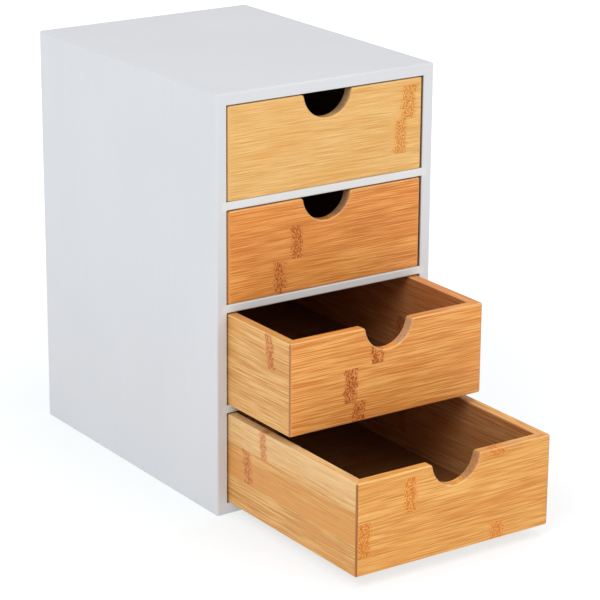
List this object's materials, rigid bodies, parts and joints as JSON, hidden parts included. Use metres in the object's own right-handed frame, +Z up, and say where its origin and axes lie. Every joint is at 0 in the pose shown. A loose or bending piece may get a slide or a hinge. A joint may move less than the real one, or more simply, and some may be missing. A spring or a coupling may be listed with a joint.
{
  "type": "desktop mini drawers",
  "caption": "Small free-standing desktop cabinet in painted board with stacked bamboo drawers that slide out by a round finger notch, for stationery and craft parts.",
  "frame": {"origin": "centre of the cabinet's footprint, on the surface it stands on", "axes": "+Z up, -Y out of the drawers' fronts, the way they pull, +X to the right seen from the front"},
  "size_m": [0.15, 0.326, 0.25],
  "materials": {
    "painted_board": "fibreboard with smooth white satin paint",
    "bamboo": "strip-laminated caramel bamboo, satin clear lacquer",
    "drawer_floor": "thin bamboo-faced board, matt lacquer",
    "steel": "bright drawn wire"
  },
  "bodies": {
    "cabinet": {"left_side_panel": "painted_board", "right_side_panel": "painted_board", "top_panel": "painted_board", "bottom_panel": "painted_board", "back_panel": "painted_board", "shelf_1": "painted_board", "shelf_2": "painted_board", "shelf_3": "painted_board", "carcass_brads": "steel", "back_panel_pins": "steel"},
    "drawer_1": {"drawer_1_front": "bamboo", "drawer_1_left_side": "bamboo", "drawer_1_right_side": "bamboo", "drawer_1_back": "bamboo", "drawer_1_floor": "drawer_floor"},
    "drawer_2": {"drawer_2_front": "bamboo", "drawer_2_left_side": "bamboo", "drawer_2_right_side": "bamboo", "drawer_2_back": "bamboo", "drawer_2_floor": "drawer_floor"},
    "drawer_3": {"drawer_3_front": "bamboo", "drawer_3_left_side": "bamboo", "drawer_3_right_side": "bamboo", "drawer_3_back": "bamboo", "drawer_3_floor": "drawer_floor"},
    "drawer_4": {"drawer_4_front": "bamboo", "drawer_4_left_side": "bamboo", "drawer_4_right_side": "bamboo", "drawer_4_back": "bamboo", "drawer_4_floor": "drawer_floor"}
  },
  "joints": [
    {"name": "drawer_1_slide", "type": "slide", "parent": "cabinet", "child": "drawer_1", "axis": [0, -1, 0], "range_m": [0, 0.15]},
    {"name": "drawer_2_slide", "type": "slide", "parent": "cabinet", "child": "drawer_2", "axis": [0, -1, 0], "range_m": [0, 0.15]},
    {"name": "drawer_3_slide", "type": "slide", "parent": "cabinet", "child": "drawer_3", "axis": [0, -1, 0], "range_m": [-0.062, 0.088]},
    {"name": "drawer_4_slide", "type": "slide", "parent": "cabinet", "child": "drawer_4", "axis": [0, -1, 0], "range_m": [-0.126, 0.024]}
  ]
}
